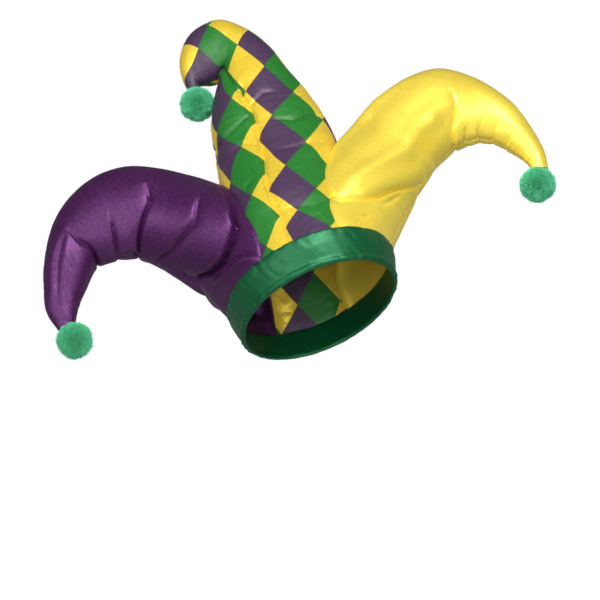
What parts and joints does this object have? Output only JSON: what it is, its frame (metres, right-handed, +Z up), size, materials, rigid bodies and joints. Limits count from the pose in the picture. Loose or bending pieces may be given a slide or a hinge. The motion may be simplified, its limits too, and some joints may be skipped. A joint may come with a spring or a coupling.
{
  "type": "jester hat",
  "caption": "Soft jester hat with a padded cuff, puffed curving cloth horns that flop over and a pompom on each tip, worn on an adult head.",
  "frame": {"origin": "centre of the head opening, in the plane of the rim, where the hat sits on a head", "axes": "+Z up out of the head opening, +X to the wearer's left where the yellow horn points, -Y to the front"},
  "size_m": [0.5471, 0.2142, 0.3727],
  "materials": {
    "green_satin": "dark green satin with a soft shine",
    "purple_satin": "dark purple satin with a bright, wide shine",
    "yellow_satin": "golden yellow satin with a bright, wide shine",
    "harlequin_satin": "satin with a diamond pattern in purple, green and yellow, duller where it is printed",
    "yarn": "fuzzy mint green yarn"
  },
  "bodies": {
    "root": {"cuff": "green_satin", "purple_horn": "purple_satin", "harlequin_horn": "harlequin_satin", "yellow_horn": "yellow_satin", "purple_pompom": "yarn", "harlequin_pompom": "yarn", "yellow_pompom": "yarn"}
  },
  "joints": []
}
